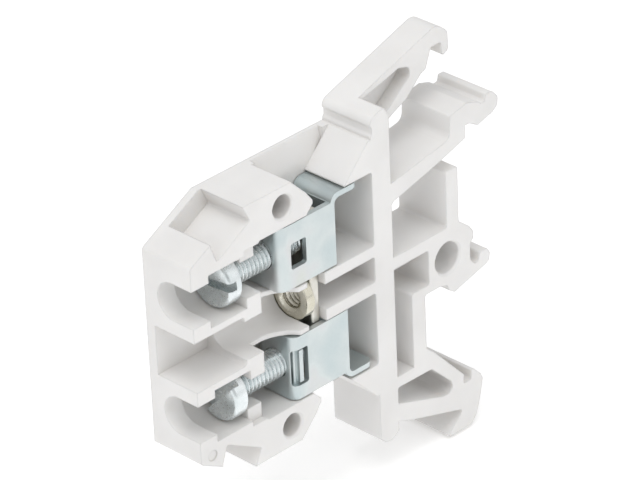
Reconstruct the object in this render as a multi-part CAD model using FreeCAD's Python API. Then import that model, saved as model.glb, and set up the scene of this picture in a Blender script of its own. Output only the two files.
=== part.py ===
import FreeCAD, Part
import math
import os

from FreeCAD import Placement, Rotation, Vector

# Feed-through terminal block for a 35 mm top-hat rail.
# X is the thickness: +X is the open side, -X the closed side wall.
# Y is the depth: the screw heads face -Y and the rail lies at y = 0.
# Z is the wire direction, with z = 0 on the rail's centre line.
# Every length is in millimetres.

# Driving dimensions of the housing
thickness = 6.2
closed_wall = 1.1
body_height = 27.6
body_depth = 26.0
spine_thickness = 2.5
foot_depth = 9.1
rail_width = 35.0
rail_sheet = 1.0
rail_play = 0.5
hook_rise = 2.05
hook_slope = 0.318
pin_hole_diameter = 2.35
pin_floor = 0.8
boss_hole_diameter = 3.3
mouth_chamfer = 0.2

# Clamps, screws, bar and bush
screw_spacing = 12.1
screw_diameter = 2.9
head_diameter = 5.3
head_height = 1.6
slot_width = 0.85
slot_depth = 0.9
cage_length = 7.35
cage_height = 6.7
cage_sheet = 0.55
cage_bend = 0.9
lip_reach = 3.2
bar_thickness = 1.1
bar_length = 18.4
bush_diameter = 4.8
bush_height = 1.1
bush_wall = 0.35
bar_web = 0.4

# Clearances
running_clearance = 0.05
head_clearance = 0.10
seat_clearance = 0.05
cage_clearance = 0.15
cage_side_clearance = 0.10
bar_clearance = 0.10
thread_clearance = 0.05

# Depth stations, counted from the spine's front face towards the screw heads
lip_thickness = 2.2
head_room = 4.6
retainer_thickness = 1.8
bar_gap = 6.7
wire_gap_upper = 1.25
wire_gap_lower = 2.4

# Planes and axes worked out from the dimensions
near_x = thickness / 2
far_x = -thickness / 2
floor_x = far_x + closed_wall
clamp_x = (floor_x + near_x) / 2
cage_width = near_x - floor_x - 2 * cage_side_clearance
bar_width = cage_width - 2 * cage_sheet - 2 * bar_clearance
spigot_diameter = bar_width - 2 * bar_web
bush_bore = spigot_diameter - 2 * bush_wall
top_z = body_height / 2
rail_edge = rail_width / 2
screw_z = screw_spacing / 2
spine_back = -foot_depth
spine_front = spine_back - spine_thickness
front_y = spine_back - body_depth
lip_back = front_y + lip_thickness
retainer_front = lip_back + head_room
retainer_back = retainer_front + retainer_thickness
bar_back = spine_front - bar_gap
bar_front = bar_back - bar_thickness
bush_front = bar_front - bush_height
head_back = retainer_front - 0.5
head_front = head_back - head_height

# Half heights of the channels and chambers around the clamps
head_bore = head_diameter / 2 + head_clearance
driver_bore = 1.95
thread_bore = screw_diameter / 2 + 0.3
cage_inner_z = screw_z - cage_height / 2
cage_outer_z = screw_z + cage_height / 2
chamber_inner_z = cage_inner_z - cage_clearance
chamber_outer_z = cage_outer_z + cage_clearance
centre_channel = screw_z - head_bore - 0.7
bush_channel = chamber_inner_z - 0.5
far_out = 5.0


def turn_at(previous, corner, following, radius):
    """The two tangent points and the arc's middle point of a rounded corner."""
    to_previous = (previous - corner).normalize()
    to_following = (following - corner).normalize()
    half = to_previous.getAngle(to_following) / 2
    longest = min((previous - corner).Length, (following - corner).Length) * 0.48
    setback = min(radius / math.tan(half), longest)
    fitted = setback * math.tan(half)
    centre = corner + (to_previous + to_following).normalize() * (fitted / math.sin(half))
    middle = centre + (corner - centre).normalize() * fitted
    return corner + to_previous * setback, middle, corner + to_following * setback


def closed_wire(points):
    """A closed wire through points of (vector, corner radius)."""
    count = len(points)
    edges = []
    ends = []
    for index, (corner, radius) in enumerate(points):
        previous = points[index - 1][0]
        following = points[(index + 1) % count][0]
        if radius > 0:
            start, middle, end = turn_at(previous, corner, following, radius)
            edges.append(Part.Arc(start, middle, end).toShape())
        else:
            start = corner
            end = corner
        ends.append((start, end))
    for index in range(count):
        start = ends[index][1]
        end = ends[(index + 1) % count][0]
        if (end - start).Length > 1e-6:
            edges.append(Part.makeLine(start, end))
    return Part.Wire(Part.__sortEdges__(edges))


def side_prism(outline, x_from, x_to, radius=0.0):
    """Solid from an outline of (y, z) or (y, z, corner radius) between two X planes."""
    points = []
    for corner in outline:
        rounding = corner[2] if len(corner) == 3 else radius
        points.append((Vector(x_from, corner[0], corner[1]), rounding))
    face = Part.Face(closed_wire(points))
    return face.extrude(Vector(x_to - x_from, 0, 0))


def box(x_from, x_to, y_from, y_to, z_from, z_to):
    size = (x_to - x_from, y_to - y_from, z_to - z_from)
    return Part.makeBox(*size, Vector(x_from, y_from, z_from))


def rod(diameter, length, start, direction):
    return Part.makeCylinder(diameter / 2, length, start, direction)


def open_bore(radius, y_from, y_to, z_centre):
    """A bore along Y round the clamp axis, open to the near side."""
    round_end = rod(2 * radius, y_to - y_from, Vector(clamp_x, y_from, z_centre), Vector(0, 1, 0))
    mouth = box(clamp_x, near_x + far_out, y_from, y_to, z_centre - radius, z_centre + radius)
    return round_end.fuse(mouth)


def mirrored(shape):
    """The same shape on the other side of the rail's centre line."""
    return shape.mirror(Vector(0, 0, 0), Vector(0, 0, 1))


def both_sides(shape):
    return shape.fuse(mirrored(shape))


def body_block():
    """The full-thickness body round the clamps, chamfered at its two front corners."""
    chamfer_start = 10.35
    chamfer_end = front_y + 6.45
    outline = [
        (front_y, -chamfer_start, 0.4),
        (front_y, chamfer_start, 0.4),
        (chamfer_end, top_z, 0.3),
        (spine_front + 0.5, top_z),
        (spine_front + 0.5, -top_z),
        (chamfer_end, -top_z, 0.3),
    ]
    return side_prism(outline, far_x, near_x)


def wire_entry():
    """The mouth between the tower's nose and the slanted funnel, down to the side wall."""
    nose_y = bar_back - 1.1
    funnel_y = spine_front - 3.7
    funnel_z = chamber_outer_z + 0.85
    funnel_rise = top_z - funnel_z
    outline = [
        (nose_y - 2.65, top_z + far_out),
        (nose_y - 2.65, top_z, 0.2),
        (nose_y - 0.8, top_z - 1.9, 0.5),
        (nose_y, top_z - 2.95, 0.3),
        (nose_y, top_z - 3.35, 0.2),
        (nose_y - 0.9, chamber_outer_z, 0.2),
        (nose_y - 0.9, chamber_outer_z - 1.0),
        (funnel_y, chamber_outer_z - 1.0),
        (funnel_y, funnel_z, 0.3),
        (funnel_y + funnel_rise, top_z),
        (funnel_y + funnel_rise, top_z + far_out),
    ]
    return side_prism(outline, floor_x, near_x + far_out)


def entry_bevel():
    """The slanted lead-in cut into the side wall above each wire entry."""
    nose_y = bar_back - 1.1
    depth = closed_wall * 0.55
    y_from = nose_y - 2.2
    y_to = spine_front - 1.1
    low_z = top_z - 2.2
    corners = [
        Vector(floor_x + 0.01, y_from, low_z),
        Vector(floor_x - depth, y_from, top_z + 0.01),
        Vector(floor_x + 0.01, y_from, top_z + 0.01),
        Vector(floor_x + 0.01, y_from, low_z),
    ]
    return Part.Face(Part.makePolygon(corners)).extrude(Vector(0, y_to - y_from, 0))


def clamp_chamber():
    """The room that one cage slides in, between the retaining wall and the spine."""
    funnel_y = spine_front - 3.7
    funnel_z = chamber_outer_z + 0.85
    outline = [
        (retainer_back, chamber_inner_z, 0.3),
        (retainer_back, chamber_outer_z, 0.3),
        (funnel_y - 1.0, chamber_outer_z),
        (funnel_y - 1.0, funnel_z),
        (spine_front, funnel_z, 0.3),
        (spine_front, chamber_inner_z, 0.3),
    ]
    return side_prism(outline, floor_x, near_x + far_out)


def marker_groove():
    """The undercut groove in a front corner that holds a marker strip."""
    far_rim = 0.85
    outline = [
        (front_y + 2.15, top_z + 1.0),
        (front_y + 2.70, top_z - 2.25, 0.25),
        (front_y + 3.35, top_z - 4.10, 0.2),
        (front_y + 7.70, top_z - 1.70, 0.2),
        (front_y + 6.85, top_z + 0.05, 0.1),
        (front_y + 6.60, top_z + 1.0),
    ]
    return side_prism(outline, far_x + far_rim, near_x + far_out)


def pin_hole():
    """The blind hole that takes an end plate's locating pin."""
    bottom_x = far_x + pin_floor
    place = Vector(bottom_x, front_y + 11.9, top_z - 2.1)
    return rod(pin_hole_diameter, thickness, place, Vector(1, 0, 0)).fuse(
        hole_mouth(pin_hole_diameter, place, near_x, -1))


def hole_mouth(diameter, place, face_x, inward):
    """A small chamfer cone round a hole's mouth on one side face."""
    radius = diameter / 2
    base = Vector(face_x - inward * mouth_chamfer, place.y, place.z)
    outer = radius + 2 * mouth_chamfer
    return Part.makeCone(outer, radius, 2 * mouth_chamfer, base, Vector(inward, 0, 0))


def screw_tower():
    """Driver channel, head room, retaining slot and pin hole for one screw."""
    driver = open_bore(driver_bore, front_y - 1, lip_back, screw_z)
    head = open_bore(head_bore, lip_back, retainer_front, screw_z)
    thread = open_bore(thread_bore, retainer_front, retainer_back, screw_z)
    return driver.fuse([head, thread, pin_hole()])


def retainer_relief():
    """Steps the outer half of the retaining wall back from the open side."""
    step_depth = 0.7
    outline = [
        (retainer_front, screw_z + thread_bore - 0.2),
        (retainer_front, chamber_outer_z - 0.2),
        (retainer_back + 0.1, chamber_outer_z - 0.2),
        (retainer_back + 0.1, screw_z + thread_bore - 0.2),
    ]
    return side_prism(outline, near_x - step_depth, near_x + far_out)


def web_relief():
    """Curved step that lowers the wall between the bush channel and a chamber."""
    drop = 2.0
    y_from = retainer_back
    y_flat = y_from + 1.6
    y_end = bush_front - 1.2
    start = Vector(near_x - drop, y_from, bush_channel - 0.2)
    flat = Vector(near_x - drop, y_flat, bush_channel - 0.2)
    end = Vector(near_x, y_end, bush_channel - 0.2)
    middle = Vector(near_x - drop * 0.72, (y_flat + y_end) / 2 + 0.15, bush_channel - 0.2)
    above_end = Vector(near_x + far_out, y_end, bush_channel - 0.2)
    above_start = Vector(near_x + far_out, y_from, bush_channel - 0.2)
    edges = [
        Part.makeLine(start, flat),
        Part.Arc(flat, middle, end).toShape(),
        Part.makeLine(end, above_end),
        Part.makeLine(above_end, above_start),
        Part.makeLine(above_start, start),
    ]
    height = chamber_inner_z - bush_channel + 0.4
    return Part.Face(Part.Wire(edges)).extrude(Vector(0, 0, height))


def centre_cuts():
    """Bridge-screw channel, bush seat, bar slot and the pocket between the ribs."""
    channel_end = retainer_front - 0.4
    channel_outline = [
        (front_y - 1, -centre_channel),
        (front_y - 1, centre_channel),
        (channel_end, centre_channel, 0.4),
        (channel_end, -centre_channel, 0.4),
    ]
    channel = side_prism(channel_outline, floor_x, near_x + far_out)
    guide = open_bore(bush_channel, channel_end - 0.5, bush_front, 0)
    seat_y = bush_front - seat_clearance
    slot_z = chamber_inner_z + 0.1
    seat = open_bore(bush_diameter / 2 + seat_clearance, seat_y, bar_front, 0)
    seat = seat.fuse(box(clamp_x, near_x + far_out, seat_y, bar_front, -slot_z, slot_z))
    bar_low_x = clamp_x - bar_width / 2 - seat_clearance
    slot = box(bar_low_x, near_x + far_out, bar_front - seat_clearance, bar_back + seat_clearance,
               -slot_z, slot_z)
    rib_inner = chamber_inner_z - 1.2
    pocket_outline = [
        (bar_back, -rib_inner),
        (bar_back, rib_inner),
        (spine_front, rib_inner, 0.3),
        (spine_front, -rib_inner, 0.3),
    ]
    pocket = side_prism(pocket_outline, floor_x, near_x + far_out)
    return channel.fuse([guide, seat, slot, pocket])


def spine():
    """The wall behind the clamps, from the claw to the root of the hook."""
    bottom_z = -rail_edge - hook_rise
    outline = [
        (spine_front, bottom_z + 0.6, 0.6),
        (spine_front + 0.8, bottom_z, 0.9),
        (spine_back - 0.8, bottom_z, 0.9),
        (spine_back, bottom_z + 0.6, 0.6),
        (spine_back, hook_top(spine_back) - 1.35, 0.3),
        (spine_back - 0.65, hook_top(spine_back - 0.65), 0.3),
        (spine_front, hook_top(spine_front), 0.9),
    ]
    return side_prism(outline, far_x, near_x)


def hook_top(y):
    """Height of the hook's upper face at a depth."""
    return rail_edge + hook_rise + hook_slope * y


def hinge_groove():
    """Shallow groove across the spine that lets the hook give a little."""
    low_z = top_z + 0.25
    outline = [
        (spine_front - 0.5, low_z),
        (spine_front, low_z),
        (spine_front + 0.2, low_z + 0.3, 0.15),
        (spine_front + 0.2, low_z + 0.85, 0.15),
        (spine_front, low_z + 1.15),
        (spine_front - 0.5, low_z + 1.15),
    ]
    return side_prism(outline, far_x - 1, near_x + 1)


def hook():
    """The half-thickness hook that goes over the rail's upper edge."""
    notch_top = rail_edge + rail_play * 0.5
    gap_back = rail_sheet + 0.4
    tip_back = gap_back + 1.0
    outline = [
        (spine_back - 1.2, hook_top(spine_back - 1.2)),
        (0.9, hook_top(0.9), 1.6),
        (tip_back - 0.1, rail_edge + 1.1, 1.0),
        (tip_back, rail_edge - 0.9, 0.5),
        (gap_back + 0.1, rail_edge - 1.3, 0.2),
        (gap_back, notch_top, 0.2),
        (0.0, notch_top, 0.15),
        (-0.75, rail_edge - 1.7, 0.2),
        (-1.45, rail_edge - 2.0, 0.2),
        (-3.5, rail_edge - 3.8, 0.8),
        (-6.0, rail_edge - 4.9, 0.8),
        (spine_back, rail_edge - 6.3),
        (spine_back - 1.2, rail_edge - 6.3),
    ]
    arm = side_prism(outline, far_x, 0.0)
    pocket_outline = [
        (spine_back - 0.3, hook_top(spine_back) - 0.65, 0.2),
        (-4.4, hook_top(-4.4) - 0.85, 0.5),
        (-2.95, hook_top(-2.95) - 1.75, 0.6),
        (-2.95, hook_top(-2.95) - 2.75, 0.5),
        (-6.1, hook_top(-6.1) - 4.1, 0.3),
        (spine_back - 0.3, hook_top(spine_back) - 4.6, 0.3),
    ]
    return arm.cut(side_prism(pocket_outline, -1.55, 1.0))


def plate_rib():
    """The rising rib that ends in a grooved plate inside the rail's upper half."""
    outline = [
        (spine_back - 0.5, 8.1),
        (spine_back, 8.1, 0.3),
        (-5.1, 8.8, 1.5),
        (-1.05, 9.45, 0.9),
        (-0.9, 11.85, 0.15),
        (1.45, 12.3, 0.3),
        (2.9, 11.85, 0.4),
        (3.35, 11.45, 0.2),
        (3.95, 11.5, 0.2),
        (4.1, 12.2, 0.2),
        (4.9, 12.2, 0.5),
        (5.75, 11.3, 0.6),
        (5.6, 10.35, 0.5),
        (4.9, 9.9, 0.4),
        (2.85, 9.35, 0.25),
        (1.75, 10.0, 0.2),
        (1.1, 10.05, 0.1),
        (1.1, 8.7, 0.2),
        (-2.1, 7.75, 0.6),
        (spine_back + 0.3, 6.1, 0.3),
        (spine_back, 5.8),
        (spine_back - 0.5, 5.8),
    ]
    return side_prism(outline, far_x, near_x)


def boss():
    """Rail-side wall, boss with its round hole, and the beak inside the rail."""
    outline = [
        (spine_back - 0.5, -1.15),
        (spine_back - 0.5, 0.15),
        (-1.75, 0.15, 0.3),
        (-1.75, 6.2, 0.15),
        (-0.1, 6.2, 0.2),
        (-0.1, 0.2, 0.4),
        (1.35, -0.95, 0.5),
        (1.9, -1.75, 0.5),
        (1.85, -2.5, 0.3),
        (1.4, -2.9, 0.15),
        (1.4, -4.7, 0.3),
        (2.0, -5.4, 0.4),
        (2.5, -5.3, 0.3),
        (2.75, -4.45, 0.2),
        (3.8, -4.45, 0.3),
        (4.15, -5.1, 0.3),
        (4.0, -5.9, 0.2),
        (3.6, -6.1, 0.2),
        (-0.9, -7.25, 0.2),
        (-1.6, -6.8, 0.3),
        (-1.9, -6.1, 0.3),
        (-2.9, -5.8, 0.4),
        (-5.0, -5.8, 0.3),
        (-5.0, -13.5),
        (-6.8, -13.5),
        (-6.8, -4.9, 0.3),
        (-4.35, -4.9, 0.3),
        (-4.35, -1.15, 0.3),
    ]
    solid = side_prism(outline, far_x, near_x)
    web = box(far_x, near_x - 2.5, spine_back - 0.5, -4.3, -3.3, -1.1)
    place = Vector(far_x - 1, -1.7, -3.15)
    hole = rod(boss_hole_diameter, thickness + 2, place, Vector(1, 0, 0))
    mouths = [hole_mouth(boss_hole_diameter, place, near_x, -1),
              hole_mouth(boss_hole_diameter, place, far_x, 1)]
    return solid.fuse(web).cut(hole).cut(mouths[0]).cut(mouths[1])


def claw():
    """The springy claw that grips the rail's lower edge, with its two arms and nose."""
    groove_back = rail_sheet + 0.1
    groove_z = -rail_edge - rail_play
    outline = [
        (spine_back - 0.5, -13.0),
        (-6.8, -13.0),
        (-6.0, -12.0),
        (-5.0, -11.7, 0.3),
        (-3.9, -12.65, 0.3),
        (0.05, -16.95, 0.2),
        (0.05, groove_z, 0.2),
        (groove_back, groove_z, 0.2),
        (groove_back, -rail_edge + 0.6, 0.15),
        (groove_back + 0.45, -rail_edge + 0.5, 0.2),
        (2.45, -17.95, 0.3),
        (2.75, -18.6, 0.4),
        (2.2, -21.0, 1.5),
        (1.75, -22.3, 1.0),
        (1.0, -23.1, 0.6),
        (-2.5, -23.1, 0.2),
        (-0.1, -20.85, 0.25),
        (-8.1, -18.4, 0.4),
        (spine_back - 0.5, -17.75),
    ]
    window = [
        (spine_back, -14.2, 0.2),
        (-4.4, -14.3, 0.4),
        (-1.75, -16.85, 0.5),
        (-1.45, -17.7, 0.4),
        (-2.1, -18.15, 0.4),
        (-2.9, -18.1, 0.5),
        (spine_back, -16.0, 0.2),
    ]
    solid = side_prism(outline, far_x, near_x)
    return solid.cut(side_prism(window, far_x - 1, near_x + 1))


def ejector_mark():
    """Shallow round dimple that an ejector pin leaves beside the lower channel."""
    place = Vector(near_x - 0.12, front_y + 1.5, -screw_z - driver_bore - 2.0)
    return rod(1.1, 1.0, place, Vector(1, 0, 0))


def housing():
    """The one-piece moulding."""
    body = body_block()
    for cut in (wire_entry(), clamp_chamber(), marker_groove(), screw_tower(), entry_bevel(),
                retainer_relief(), web_relief()):
        body = body.cut(both_sides(cut))
    body = body.cut(centre_cuts())
    body = body.cut(ejector_mark())
    back = spine().cut(hinge_groove())
    shape = body.fuse([back, hook(), plate_rib(), boss(), claw()]).removeSplitter()
    return shape


def cage(at_front, z_side):
    """A clamping yoke: a folded strip with a tapped double front wall and a flared lip."""
    back = at_front + cage_length
    half_width = cage_width / 2
    inner = cage_bend - cage_sheet
    ring = side_ring(at_front, back, half_width)
    doubler = box(clamp_x - half_width + cage_sheet, clamp_x + half_width - cage_sheet,
                  at_front + cage_sheet, at_front + 2 * cage_sheet, cage_inner_z, cage_outer_z)
    doubler = doubler.makeFillet(inner * 0.6, front_bends(doubler))
    hole = rod(screw_diameter + 2 * thread_clearance, 4 * cage_sheet,
               Vector(clamp_x, at_front - cage_sheet, screw_z), Vector(0, 1, 0))
    square_window = side_window(at_front + 1.5, at_front + 3.5, screw_z - 1.4, screw_z + 1.3)
    near_cut = square_window.extrude(Vector(half_width + 1, 0, 0))
    long_window = side_window(at_front + 0.1, at_front + 1.95, screw_z - 1.95, screw_z + 1.9)
    far_cut = long_window.extrude(Vector(-half_width - 1, 0, 0))
    tongue = box(clamp_x - half_width + 0.12, clamp_x - half_width + 0.12 + cage_sheet,
                 at_front + 0.9, at_front + 1.4, screw_z - 1.75, screw_z + 1.7)
    shape = ring.cut(near_cut).cut(far_cut)
    shape = shape.fuse([doubler, tongue, wire_lip(back)]).cut(hole).removeSplitter()
    if z_side > 0:
        return shape
    return shape.mirror(Vector(0, 0, 0), Vector(0, 0, 1)).mirror(Vector(clamp_x, 0, 0), Vector(1, 0, 0))


def upright_edges(shape):
    """Edges that run along Z."""
    return [edge for edge in shape.Edges if abs(edge.tangentAt(edge.FirstParameter).z) > 0.999]


def front_bends(shape):
    """Upright edges on a shape's front side, where the strip is bent."""
    front = shape.BoundBox.YMin
    return [edge for edge in upright_edges(shape) if edge.BoundBox.YMax < front + 0.01]


def side_ring(front, back, half_width):
    """The folded tube of the yoke, bent round at the front and butted at the back."""
    outer = box(clamp_x - half_width, clamp_x + half_width, front, back, cage_inner_z, cage_outer_z)
    outer = outer.makeFillet(cage_bend, front_bends(outer))
    inner = box(clamp_x - half_width + cage_sheet, clamp_x + half_width - cage_sheet,
                front + cage_sheet, back - cage_sheet, cage_inner_z - 1, cage_outer_z + 1)
    inner = inner.makeFillet(cage_bend - cage_sheet, front_bends(inner))
    return outer.cut(inner)


def side_window(y_from, y_to, z_from, z_to):
    """A rounded window outline in the yoke's middle plane."""
    corners = [(y_from, z_from), (y_to, z_from), (y_to, z_to), (y_from, z_to)]
    points = [(Vector(clamp_x, y, z), 0.25) for y, z in corners]
    return Part.Face(closed_wire(points))


def wire_lip(back):
    """The flared end of the yoke's rear wall, bent towards the rail."""
    half_width = cage_width / 2
    bend = 1.15
    start_z = cage_outer_z - 0.8
    bend_z = cage_outer_z - 0.35
    outer_centre = Vector(clamp_x - half_width, back - cage_sheet + bend, bend_z)
    slant = math.sin(math.pi / 4)
    edges = []
    inner_radius = bend - cage_sheet
    first = Vector(outer_centre.x, back - cage_sheet, start_z)
    second = Vector(outer_centre.x, back - cage_sheet, bend_z)
    arc_middle = Vector(outer_centre.x, outer_centre.y - bend * slant, bend_z + bend * slant)
    third = Vector(outer_centre.x, outer_centre.y, bend_z + bend)
    fourth = Vector(outer_centre.x, back + lip_reach, bend_z + bend)
    fifth = Vector(outer_centre.x, back + lip_reach, bend_z + inner_radius)
    sixth = Vector(outer_centre.x, outer_centre.y, bend_z + inner_radius)
    inner_middle = Vector(outer_centre.x, outer_centre.y - inner_radius * slant,
                          bend_z + inner_radius * slant)
    seventh = Vector(outer_centre.x, back, bend_z)
    eighth = Vector(outer_centre.x, back, start_z)
    edges.append(Part.makeLine(first, second))
    edges.append(Part.Arc(second, arc_middle, third).toShape())
    edges.append(Part.makeLine(third, fourth))
    edges.append(Part.makeLine(fourth, fifth))
    edges.append(Part.makeLine(fifth, sixth))
    edges.append(Part.Arc(sixth, inner_middle, seventh).toShape())
    edges.append(Part.makeLine(seventh, eighth))
    edges.append(Part.makeLine(eighth, first))
    lip = Part.Face(Part.Wire(edges)).extrude(Vector(cage_width, 0, 0))
    corners = [edge for edge in upright_edges(lip) if edge.BoundBox.YMin > back + lip_reach - 0.01]
    return lip.makeFillet(0.8, corners)


def clamp_screw(z_centre, slot_angle):
    """A slotted cheese-head screw whose tip bears on the bar."""
    rim = 0.35
    tip_y = bar_front - running_clearance
    head_radius = head_diameter / 2
    shank_radius = screw_diameter / 2
    profile = [
        Vector(0, head_front, 0),
        Vector(head_radius - rim, head_front, 0),
        Vector(head_radius, head_front + rim, 0),
        Vector(head_radius, head_back, 0),
        Vector(shank_radius, head_back, 0),
        Vector(shank_radius, tip_y - rim, 0),
        Vector(shank_radius - rim, tip_y, 0),
        Vector(0, tip_y, 0),
        Vector(0, head_front, 0),
    ]
    turned = Part.Face(Part.makePolygon(profile)).revolve(Vector(0, 0, 0), Vector(0, 1, 0), 360)
    slot = box(-slot_width / 2, slot_width / 2, head_front - 1, head_front + slot_depth,
               -head_diameter, head_diameter)
    slot.Placement = Placement(Vector(0, 0, 0), Rotation(Vector(0, 1, 0), slot_angle))
    solid = turned.cut(slot)
    solid.translate(Vector(clamp_x, 0, z_centre))
    return solid


def current_bar():
    """The bar that both clamps press the wires against."""
    bar = box(clamp_x - bar_width / 2, clamp_x + bar_width / 2, bar_front, bar_back,
              -bar_length / 2, bar_length / 2)
    bar = bar.makeFillet(0.25, upright_edges(bar))
    hole = rod(spigot_diameter, 3 * bar_thickness, Vector(clamp_x, bar_front - bar_thickness, 0),
               Vector(0, 1, 0))
    return bar.cut(hole)


def bridge_bush():
    """The tapped bush staked into the bar."""
    flange = rod(bush_diameter, bush_height, Vector(clamp_x, bush_front, 0), Vector(0, 1, 0))
    rim_edges = [edge for edge in flange.Edges if edge.Curve.TypeId == "Part::GeomCircle"]
    flange = flange.makeChamfer(0.2, rim_edges)
    spigot = rod(spigot_diameter, bush_height + bar_thickness, Vector(clamp_x, bush_front + 0.01, 0),
                 Vector(0, 1, 0))
    spigot = spigot.common(box(-far_out, far_out, bush_front, bar_back, -far_out, far_out))
    bore = rod(bush_bore, 3 * far_out, Vector(clamp_x, bush_front - far_out, 0), Vector(0, 1, 0))
    mouth = Part.makeCone(bush_bore / 2 + 0.3, bush_bore / 2, 0.3, Vector(clamp_x, bush_front, 0),
                          Vector(0, 1, 0))
    return flange.fuse(spigot).cut(bore).cut(mouth).removeSplitter()


def cage_front(wire_gap):
    """Front face of a cage whose rear wall stands a wire gap behind the bar."""
    return bar_back + wire_gap + cage_sheet - cage_length


nodes = {
    "housing": housing(),
    "current_bar": current_bar(),
    "bridge_bush": bridge_bush(),
    "upper_clamp_cage": cage(cage_front(wire_gap_upper), 1),
    "lower_clamp_cage": cage(cage_front(wire_gap_lower), -1),
    "upper_clamp_screw": clamp_screw(screw_z, 85),
    "lower_clamp_screw": clamp_screw(-screw_z, 45),
}

os.makedirs("parts", exist_ok=True)
for name, shape in nodes.items():
    shape.exportStep("parts/" + name + ".step")
    spread = shape.BoundBox
    print(name, "solids", len(shape.Solids), "valid", shape.isValid(), "volume", round(shape.Volume, 1),
          "size", round(spread.XLength, 2), round(spread.YLength, 2), round(spread.ZLength, 2))
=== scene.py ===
from math import cos, pi, radians, sin

import bmesh
import bpy
from mathutils import Matrix, Vector


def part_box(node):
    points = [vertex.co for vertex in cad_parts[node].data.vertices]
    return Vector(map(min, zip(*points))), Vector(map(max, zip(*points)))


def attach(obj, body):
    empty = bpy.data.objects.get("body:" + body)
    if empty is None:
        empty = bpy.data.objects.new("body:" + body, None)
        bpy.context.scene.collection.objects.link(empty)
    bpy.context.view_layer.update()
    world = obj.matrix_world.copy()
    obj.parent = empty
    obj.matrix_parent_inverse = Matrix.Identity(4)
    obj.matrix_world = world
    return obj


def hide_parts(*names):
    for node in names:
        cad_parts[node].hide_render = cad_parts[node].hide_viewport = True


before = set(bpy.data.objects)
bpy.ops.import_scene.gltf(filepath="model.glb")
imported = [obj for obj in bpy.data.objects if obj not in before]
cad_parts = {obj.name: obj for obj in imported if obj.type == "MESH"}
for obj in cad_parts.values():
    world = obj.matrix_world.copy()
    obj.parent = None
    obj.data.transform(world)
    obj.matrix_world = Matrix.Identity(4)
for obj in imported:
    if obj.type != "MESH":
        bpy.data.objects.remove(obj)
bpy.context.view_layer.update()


# ---- Housing -------------------------------------------------------------------------
# One injection moulding in light grey polyamide. The tool's parting edges are slightly
# rounded, and the skin is a fine matt satin.

SHARP = radians(32)


def cleaned_mesh(node, merge=2e-6):
    """A CAD node's mesh, joined along its edges again, its flat triangles paired up."""
    mesh = bmesh.new()
    mesh.from_mesh(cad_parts[node].data)
    bmesh.ops.remove_doubles(mesh, verts=mesh.verts, dist=merge)
    bmesh.ops.join_triangles(mesh, faces=mesh.faces, angle_face_threshold=radians(0.6),
                             angle_shape_threshold=radians(180))
    return mesh


def finished_piece(name, mesh, body, material):
    """Turns a bmesh into a smooth-shaded piece that rides on a body."""
    data = bpy.data.meshes.new(name)
    mesh.to_mesh(data)
    mesh.free()
    old_normals = data.attributes.get("custom_normal")
    if old_normals:
        data.attributes.remove(old_normals)
    piece = bpy.data.objects.new(name, data)
    bpy.context.scene.collection.objects.link(piece)
    data.shade_smooth()
    data.set_sharp_from_angle(angle=SHARP)
    data.materials.append(material)
    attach(piece, body)
    return piece


def keep_flats(piece):
    """Lets large faces decide the shading, so flats stay flat beside small curves."""
    flat = piece.modifiers.new("flat faces stay flat", "WEIGHTED_NORMAL")
    flat.mode = "FACE_AREA"
    flat.weight = 80
    flat.keep_sharp = True


def new_group(name, inputs, outputs):
    """An empty shader node group with float inputs and typed outputs."""
    group = bpy.data.node_groups.new(name, "ShaderNodeTree")
    for label, value in inputs.items():
        socket = group.interface.new_socket(label, in_out="INPUT",
                                            socket_type="NodeSocketFloat")
        socket.default_value = value
    for label, kind in outputs.items():
        group.interface.new_socket(label, in_out="OUTPUT", socket_type=kind)
    return group


def linked(tree, kind, **inputs):
    """Adds a node and fills its inputs with values or with other nodes' outputs."""
    node = tree.nodes.new(kind)
    for label, value in inputs.items():
        socket = node.inputs[label.replace("_", " ")]
        if isinstance(value, bpy.types.NodeSocket):
            tree.links.new(value, socket)
        else:
            socket.default_value = value
    return node


def surface_grain():
    """Fine and broad unevenness of a surface, as two masks and one height."""
    group = new_group("surface grain", {"Fine": 9000.0, "Broad": 250.0},
                      {"Fine Mask": "NodeSocketFloat", "Broad Mask": "NodeSocketFloat",
                       "Height": "NodeSocketFloat"})
    entry = group.nodes.new("NodeGroupInput")
    leave = group.nodes.new("NodeGroupOutput")
    place = group.nodes.new("ShaderNodeTexCoord").outputs["Object"]
    fine = linked(group, "ShaderNodeTexNoise", Vector=place,
                  Scale=entry.outputs["Fine"], Detail=4.0, Roughness=0.6)
    broad = linked(group, "ShaderNodeTexNoise", Vector=place,
                   Scale=entry.outputs["Broad"], Detail=3.0, Roughness=0.55)
    summed = linked(group, "ShaderNodeMath")
    summed.operation = "MULTIPLY_ADD"
    summed.inputs[1].default_value = 0.35
    group.links.new(broad.outputs["Fac"], summed.inputs[0])
    group.links.new(fine.outputs["Fac"], summed.inputs[2])
    group.links.new(fine.outputs["Fac"], leave.inputs["Fine Mask"])
    group.links.new(broad.outputs["Fac"], leave.inputs["Broad Mask"])
    group.links.new(summed.outputs["Value"], leave.inputs["Height"])
    return group


GRAIN = surface_grain()


def new_material(name):
    """A material with its Principled shader, ready for nodes."""
    material = bpy.data.materials.new(name)
    material.use_nodes = True
    tree = material.node_tree
    return material, tree, tree.nodes["Principled BSDF"]


def placed_grain(tree, fine, broad):
    """One use of the surface grain group in a material."""
    node = tree.nodes.new("ShaderNodeGroup")
    node.node_tree = GRAIN
    node.inputs["Fine"].default_value = fine
    node.inputs["Broad"].default_value = broad
    return node


def spread(tree, mask, low, high, to_low, to_high):
    """Maps a mask's useful stretch onto another range."""
    node = linked(tree, "ShaderNodeMapRange", Value=mask)
    node.inputs["From Min"].default_value = low
    node.inputs["From Max"].default_value = high
    node.inputs["To Min"].default_value = to_low
    node.inputs["To Max"].default_value = to_high
    return node.outputs["Result"]


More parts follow.
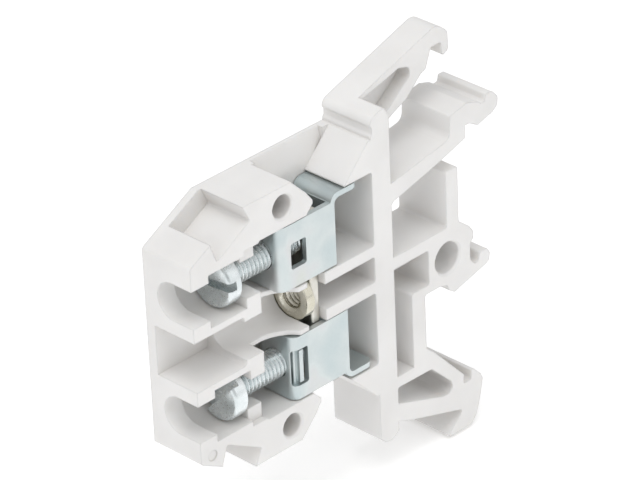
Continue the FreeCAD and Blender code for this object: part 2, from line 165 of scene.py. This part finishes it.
def two_tones(tree, mask, first, second):
    """A colour between two tones by a mask."""
    node = tree.nodes.new("ShaderNodeMix")
    node.data_type = "RGBA"
    tree.links.new(mask, node.inputs["Factor"])
    node.inputs["A"].default_value = (*first, 1.0)
    node.inputs["B"].default_value = (*second, 1.0)
    return node.outputs["Result"]


def bumped(tree, shader, height, strength, distance, edge):
    """Feeds a height into the shader's normal, over softly rounded edges."""
    broken = linked(tree, "ShaderNodeBevel", Radius=edge)
    broken.samples = 6
    bump = linked(tree, "ShaderNodeBump", Height=height, Strength=strength,
                  Distance=distance, Normal=broken.outputs["Normal"])
    tree.links.new(bump.outputs["Normal"], shader.inputs["Normal"])


def polyamide():
    """Light grey nylon: slightly see-through, cloudy tone, fine satin skin, and painted shade
    in its hollows.
    """
    material, tree, shader = new_material("light grey polyamide")
    grain = placed_grain(tree, 7000.0, 130.0)
    clouds = spread(tree, grain.outputs["Broad Mask"], 0.35, 0.65, 0.0, 1.0)
    tone = two_tones(tree, clouds, (0.735, 0.727, 0.718), (0.785, 0.778, 0.769))
    # Painted shade: ambient occlusion blends the base colour towards a deeper grey in
    # recesses, creases and between walls, where shade falls.
    recess_occlusion = tree.nodes.new("ShaderNodeAmbientOcclusion")
    recess_occlusion.inputs["Distance"].default_value = 0.0022
    recess_occlusion.samples = 8
    hollow_shade = spread(tree, recess_occlusion.outputs["AO"], 0.25, 0.95, 1.0, 0.0)
    shaded = tree.nodes.new("ShaderNodeMix")
    shaded.data_type = "RGBA"
    tree.links.new(hollow_shade, shaded.inputs["Factor"])
    tree.links.new(tone, shaded.inputs["A"])
    shaded.inputs["B"].default_value = (0.72, 0.703, 0.682, 1.0)
    tree.links.new(shaded.outputs["Result"], shader.inputs["Base Color"])
    satin = spread(tree, grain.outputs["Fine Mask"], 0.3, 0.7, 0.42, 0.54)
    tree.links.new(satin, shader.inputs["Roughness"])
    shader.inputs["Specular IOR Level"].default_value = 0.38
    shader.inputs["Subsurface Weight"].default_value = 0.12
    shader.inputs["Subsurface Radius"].default_value = (1.0, 0.9, 0.75)
    shader.inputs["Subsurface Scale"].default_value = 0.0012
    bumped(tree, shader, grain.outputs["Height"], 0.10, 0.00004, 0.00022)
    return material


housing_low, housing_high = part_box("housing")
housing = finished_piece("moulded_housing", cleaned_mesh("housing"), "terminal",
                         polyamide())
keep_flats(housing)
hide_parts("housing")


# ---- Current bar ---------------------------------------------------------------------
# A short strip of copper with a dull tin plating, cut to length and broken at its long
# edges. Both clamps press their wires against its rail side.

def plated(name, low_tone, high_tone, rough, brushed=0.25):
    """A plated metal: cloudy plating tone and a fine grain of small pits."""
    material, tree, shader = new_material(name)
    grain = placed_grain(tree, 5200.0, 420.0)
    clouds = spread(tree, grain.outputs["Broad Mask"], 0.38, 0.62, 0.0, 1.0)
    tone = two_tones(tree, clouds, low_tone, high_tone)
    tree.links.new(tone, shader.inputs["Base Color"])
    shader.inputs["Metallic"].default_value = 1.0
    worn = spread(tree, grain.outputs["Fine Mask"], 0.3, 0.7, rough - 0.06, rough + 0.10)
    tree.links.new(worn, shader.inputs["Roughness"])
    bumped(tree, shader, grain.outputs["Height"], brushed, 0.00003, 0.00006)
    return material


tin = plated("dull tin on copper", (0.60, 0.585, 0.53), (0.70, 0.69, 0.64), 0.34)
bar_mesh = cleaned_mesh("current_bar")
bar = finished_piece("plated_bar", bar_mesh, "terminal", tin)
keep_flats(bar)
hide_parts("current_bar")


# ---- Bridge bush ---------------------------------------------------------------------
# A turned brass bush with a bright nickel skin, pressed through the bar and spread at
# the back. Its bore is tapped, and its face shows the rings of the turning tool.

TURNS = 64


def lathed(mesh, profile, centre, turns=TURNS):
    """Turns a profile of (radius, depth) round an axis along Y; the profile is closed."""
    rings = []
    for radius, depth in profile:
        ring = []
        for step in range(turns):
            angle = 2 * pi * step / turns
            place = (centre.x + radius * cos(angle), depth, centre.z + radius * sin(angle))
            ring.append(mesh.verts.new(place))
        rings.append(ring)
    for index, ring in enumerate(rings):
        following = rings[(index + 1) % len(rings)]
        for step in range(turns):
            nxt = (step + 1) % turns
            mesh.faces.new((ring[step], ring[nxt], following[nxt], following[step]))
    return mesh


def thread(mesh, centre, root, crest, start, end, pitch, steps=32):
    """A helical ridge between two depths, right-handed, fading out at both ends."""
    count = int((end - start) / pitch * steps)
    half_foot = pitch * 0.42
    previous = None
    for step in range(count + 1):
        depth = start + (end - start) * step / count
        angle = -2 * pi * (depth - start) / pitch
        fade = min(1.0, step / steps, (count - step) / steps)
        height = root + (crest - root) * fade
        turn = Vector((cos(angle), 0.0, sin(angle)))
        ring = []
        for radius, shift in ((root, -half_foot), (height, -half_foot * 0.22),
                              (height, half_foot * 0.22), (root, half_foot)):
            place = centre + turn * radius
            place.y = min(max(depth + shift, start), end)
            ring.append(mesh.verts.new(place))
        if previous:
            for side in range(3):
                mesh.faces.new((previous[side], previous[side + 1], ring[side + 1],
                                ring[side]))
        previous = ring


def turned_metal(name, low_tone, high_tone, rough, centre, ring_gap):
    """A plated, turned metal with the tool's fine rings round an axis along Y."""
    material = plated(name, low_tone, high_tone, rough, 0.03)
    tree = material.node_tree
    shader = tree.nodes["Principled BSDF"]
    old_bump = next(n for n in tree.nodes if n.type == "BUMP")
    place = tree.nodes.new("ShaderNodeTexCoord").outputs["Object"]
    shifted = linked(tree, "ShaderNodeMapping", Vector=place)
    shifted.inputs["Location"].default_value = (-centre.x, 0.0, -centre.z)
    rings = linked(tree, "ShaderNodeTexWave", Vector=shifted.outputs["Vector"])
    rings.wave_type = "RINGS"
    rings.rings_direction = "Y"
    rings.inputs["Scale"].default_value = 0.314 / ring_gap
    rings.inputs["Distortion"].default_value = 0.6
    bump = linked(tree, "ShaderNodeBump", Height=rings.outputs["Fac"], Strength=0.12,
                  Distance=0.00001, Normal=old_bump.outputs["Normal"])
    tree.links.new(bump.outputs["Normal"], shader.inputs["Normal"])
    return material


bush_low, bush_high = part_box("bridge_bush")
bush_axis = (bush_low + bush_high) / 2
bush_radius = (bush_high.x - bush_low.x) / 2
bar_low, bar_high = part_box("current_bar")
bush_bore = 0.00118
bush_edge = 0.00022
bush_countersink = 0.0003
bush_relief = 0.00012
spigot_radius = 0.0014
bush_thread_depth = 0.00018
bush_pitch = 0.00045
bush_mesh = bmesh.new()
lathed(bush_mesh, [
    (bush_bore, bush_high.y),
    (bush_bore, bush_low.y + 0.00028),
    (bush_bore + bush_countersink, bush_low.y + 0.00002),
    (bush_bore + 0.00036, bush_low.y),
    (bush_radius - bush_edge, bush_low.y),
    (bush_radius - bush_edge * 0.3, bush_low.y + bush_edge * 0.3),
    (bush_radius, bush_low.y + bush_edge),
    (bush_radius, bar_low.y - bush_relief),
    (bush_radius - bush_relief, bar_low.y),
    (spigot_radius, bar_low.y),
    (spigot_radius, bush_high.y),
], bush_axis)
thread(bush_mesh, bush_axis, bush_bore, bush_bore - bush_thread_depth, bush_low.y + 0.0002,
       bush_high.y - 0.0001, bush_pitch)
bmesh.ops.recalc_face_normals(bush_mesh, faces=bush_mesh.faces)
nickel = turned_metal("nickel on turned brass", (0.60, 0.575, 0.48), (0.74, 0.72, 0.64), 0.20,
                      bush_axis, 0.00022)
bush = finished_piece("tapped_bush", bush_mesh, "terminal", nickel)
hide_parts("bridge_bush")


# ---- Clamp cages ---------------------------------------------------------------------
# Each yoke is one strip of steel, punched, folded into a tube and locked by a tongue in
# its side. Blue-passivated zinc gives it a pale, faintly rainbow skin.

def zinc_blue(name, rough):
    """Blue-passivated zinc: milky grey with faint blue, green and pink patches."""
    material, tree, shader = new_material(name)
    grain = placed_grain(tree, 3800.0, 300.0)
    place = tree.nodes.new("ShaderNodeTexCoord").outputs["Object"]
    patches = linked(tree, "ShaderNodeTexNoise", Vector=place, Scale=260.0, Detail=1.5,
                     Roughness=0.45, Distortion=0.3)
    film = tree.nodes.new("ShaderNodeValToRGB")
    film.color_ramp.elements[0].position = 0.30
    film.color_ramp.elements[0].color = (0.54, 0.61, 0.62, 1.0)
    film.color_ramp.elements[1].position = 0.72
    film.color_ramp.elements[1].color = (0.63, 0.655, 0.63, 1.0)
    for position, tone in ((0.44, (0.58, 0.635, 0.64)), (0.52, (0.62, 0.67, 0.67)),
                           (0.60, (0.635, 0.655, 0.66))):
        stop = film.color_ramp.elements.new(position)
        stop.color = (*tone, 1.0)
    tree.links.new(patches.outputs["Fac"], film.inputs["Fac"])
    tree.links.new(film.outputs["Color"], shader.inputs["Base Color"])
    shader.inputs["Metallic"].default_value = 0.88
    worn = spread(tree, grain.outputs["Fine Mask"], 0.3, 0.7, rough - 0.05, rough + 0.10)
    tree.links.new(worn, shader.inputs["Roughness"])
    bumped(tree, shader, grain.outputs["Height"], 0.25, 0.00004, 0.00008)
    return material


zinc_sheet = zinc_blue("blue zinc on pressed steel", 0.40)


def clamp_cage(side):
    """One folded yoke."""
    mesh = cleaned_mesh(side + "_clamp_cage")
    cage = finished_piece(side + "_yoke", mesh, side + "_cage", zinc_sheet)
    keep_flats(cage)
    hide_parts(side + "_clamp_cage")


for side in ("upper", "lower"):
    clamp_cage(side)


# ---- Clamp screws --------------------------------------------------------------------
# Turned steel screws with a slotted cheese head and a rolled M3 thread, in the same blue
# zinc as the yokes but brighter. The slot is sawn right across the head.

HEAD_HEIGHT = 0.0016
HEAD_RIM = 0.00034
NECK_RADIUS = 0.00145
CORE_RADIUS = 0.00121
THREAD_ROOT = 0.0012
THREAD_CREST = 0.00144
THREAD_PITCH = 0.0005
SLOT_WIDTH = 0.00085
SLOT_DEPTH = 0.0009


def screw_blank(mesh, axis, low, high, radius, head_end):
    """The solid of revolution before the slot is sawn: head, neck and core."""
    rim = HEAD_RIM
    core = CORE_RADIUS
    neck = NECK_RADIUS
    lathed(mesh, [
        (0.00001, low.y),
        (radius - rim, low.y),
        (radius - rim * 0.62, low.y + rim * 0.12),
        (radius - rim * 0.25, low.y + rim * 0.42),
        (radius - rim * 0.06, low.y + rim * 0.8),
        (radius, low.y + rim * 1.2),
        (radius, head_end - 0.00010),
        (radius - 0.00010, head_end),
        (neck, head_end),
        (neck, head_end + 0.00022),
        (core, head_end + 0.00045),
        (core, high.y - 0.00030),
        (core - 0.0003, high.y),
        (0.00001, high.y),
    ], axis)
    bmesh.ops.recalc_face_normals(mesh, faces=mesh.faces)


def sawn_slot(blank, axis, low, radius, angle):
    """Cuts the driver slot with a boolean and keeps the result."""
    saw = bpy.data.meshes.new("saw")
    cutter = bmesh.new()
    bmesh.ops.create_cube(cutter, size=1.0)
    cutter.transform(Matrix.Translation((axis.x, low.y, axis.z))
                     @ Matrix.Rotation(angle, 4, "Y")
                     @ Matrix.Diagonal((SLOT_WIDTH, SLOT_DEPTH * 2, radius * 3, 1.0)))
    cutter.to_mesh(saw)
    cutter.free()
    blade = bpy.data.objects.new("saw", saw)
    bpy.context.scene.collection.objects.link(blade)
    cut = blank.modifiers.new("slot", "BOOLEAN")
    cut.operation = "DIFFERENCE"
    cut.object = blade
    cut.solver = "EXACT"
    bpy.context.view_layer.update()
    shaped = bpy.data.meshes.new_from_object(
        blank.evaluated_get(bpy.context.evaluated_depsgraph_get()))
    bpy.data.objects.remove(blade)
    return shaped


def clamp_screw(side, slot_angle):
    """One slotted screw with its rolled thread."""
    low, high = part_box(side + "_clamp_screw")
    axis = (low + high) / 2
    radius = (high.x - low.x) / 2
    head_end = low.y + HEAD_HEIGHT
    mesh = bmesh.new()
    screw_blank(mesh, axis, low, high, radius, head_end)
    data = bpy.data.meshes.new("blank")
    mesh.to_mesh(data)
    mesh.free()
    blank = bpy.data.objects.new("blank", data)
    bpy.context.scene.collection.objects.link(blank)
    shaped = sawn_slot(blank, axis, low, radius, slot_angle)
    bpy.data.objects.remove(blank)
    mesh = bmesh.new()
    mesh.from_mesh(shaped)
    thread(mesh, axis, THREAD_ROOT, THREAD_CREST, head_end + 0.00030, high.y - 0.00020,
           THREAD_PITCH)
    steel = turned_metal(side + " screw zinc", (0.66, 0.71, 0.72), (0.80, 0.84, 0.85), 0.28,
                         axis, 0.00025)
    steel.node_tree.nodes["Principled BSDF"].inputs["Metallic"].default_value = 0.95
    screw = finished_piece(side + "_screw_threaded", mesh, side + "_screw",
                           steel)
    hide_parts(side + "_clamp_screw")


for side, slot_angle in (("upper", radians(85)), ("lower", radians(45))):
    clamp_screw(side, slot_angle)


# ---- Studio --------------------------------------------------------------------------
# A plain white floor under even white light, one big soft light from above the screw
# heads, a weak fill from the open side, a weaker one in front, and a long lens.

def white_floor(height):
    """A large white floor that glows a little, so that it stays white under the object."""
    mesh = bmesh.new()
    bmesh.ops.create_grid(mesh, x_segments=1, y_segments=1, size=3.0)
    data = bpy.data.meshes.new("floor")
    mesh.to_mesh(data)
    mesh.free()
    floor = bpy.data.objects.new("floor", data)
    floor.location.z = height
    bpy.context.scene.collection.objects.link(floor)
    paint, tree, shader = new_material("white paper")
    shader.inputs["Base Color"].default_value = (0.97, 0.97, 0.97, 1.0)
    shader.inputs["Emission Color"].default_value = (1.0, 1.0, 1.0, 1.0)
    shader.inputs["Emission Strength"].default_value = 0.22
    shader.inputs["Roughness"].default_value = 0.85
    shader.inputs["Specular IOR Level"].default_value = 0.1
    data.materials.append(paint)


white_floor(housing_low.z - 0.0004)


def soft_light(name, place, aim, size, power, tone=(1.0, 1.0, 1.0)):
    """A square area light that looks at a point."""
    data = bpy.data.lights.new(name, "AREA")
    data.shape = "SQUARE"
    data.size = size
    data.energy = power
    data.color = tone
    light = bpy.data.objects.new(name, data)
    light.location = place
    light.rotation_euler = (Vector(aim) - Vector(place)).to_track_quat("-Z", "Y").to_euler()
    bpy.context.scene.collection.objects.link(light)


middle = (housing_low + housing_high) / 2
soft_light("key", (0.08, -0.13, 0.37), middle, 0.30, 0.80)
soft_light("fill", (0.36, 0.10, 0.16), middle, 0.30, 0.16)
soft_light("front", (0.02, -0.42, 0.08), middle, 0.30, 0.08)

world = bpy.data.worlds.new("studio")
world.use_nodes = True
world.node_tree.nodes["Background"].inputs["Color"].default_value = (1.0, 1.0, 1.0, 1.0)
world.node_tree.nodes["Background"].inputs["Strength"].default_value = 0.60
bpy.context.scene.world = world
bpy.context.scene.view_settings.view_transform = "Standard"

AZIMUTH = radians(45.52)
ELEVATION = radians(29.85)
ROLL = radians(-2.53)
DISTANCE = 0.4217
AIM = Vector((-0.00205, -0.01360, 0.00213))
lens = bpy.data.cameras.new("long lens")
lens.sensor_width = 36.0
lens.lens = 253.1
lens.clip_start = 0.01
lens.clip_end = 10.0
camera = bpy.data.objects.new("camera", lens)
bpy.context.scene.collection.objects.link(camera)
back = Vector((sin(AZIMUTH) * cos(ELEVATION), -cos(AZIMUTH) * cos(ELEVATION), sin(ELEVATION)))
looking = (-back).to_track_quat("-Z", "Y").to_matrix()
camera.matrix_world = (Matrix.Translation(AIM + back * DISTANCE)
                       @ (looking @ Matrix.Rotation(ROLL, 3, "Z")).to_4x4())
bpy.context.scene.camera = camera
